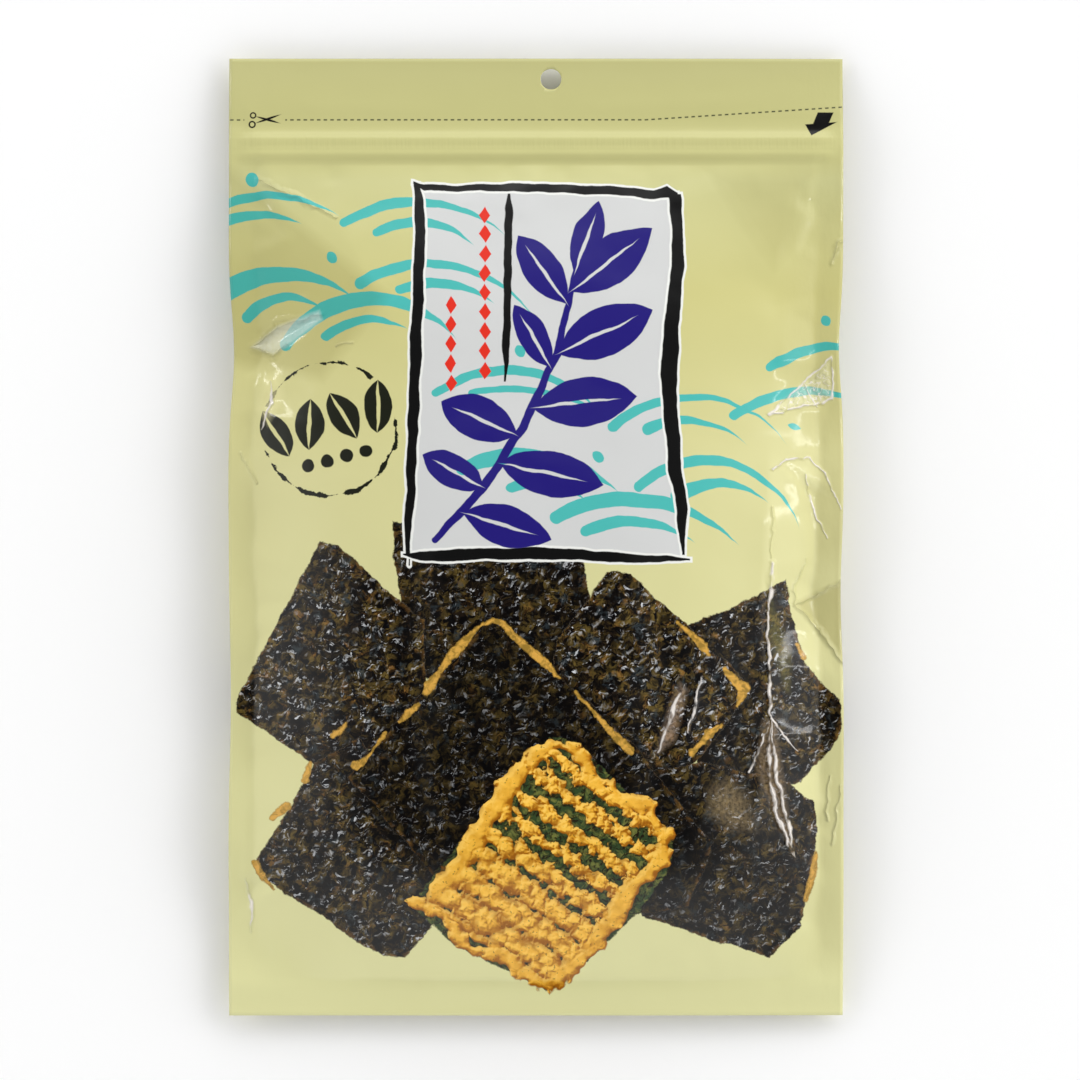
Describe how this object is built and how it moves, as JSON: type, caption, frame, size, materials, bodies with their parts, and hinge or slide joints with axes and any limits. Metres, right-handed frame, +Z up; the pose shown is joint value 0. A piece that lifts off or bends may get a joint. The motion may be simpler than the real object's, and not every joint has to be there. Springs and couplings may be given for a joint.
{
  "type": "snack pouch",
  "caption": "Sealed zip pouch of glossy printed film with a hang hole, full and pillow shaped, lying on its back with the printed front up.",
  "frame": {"origin": "middle of the outline at the height of the surface that the pouch lies on", "axes": "+Z up out of the printed front, +Y along the length towards the hang hole, +X to the right of the front"},
  "size_m": [0.202, 0.315, 0.0379],
  "materials": {
    "film": "glossy printed packaging film"
  },
  "bodies": {
    "root": {"pouch": "film"}
  },
  "joints": []
}
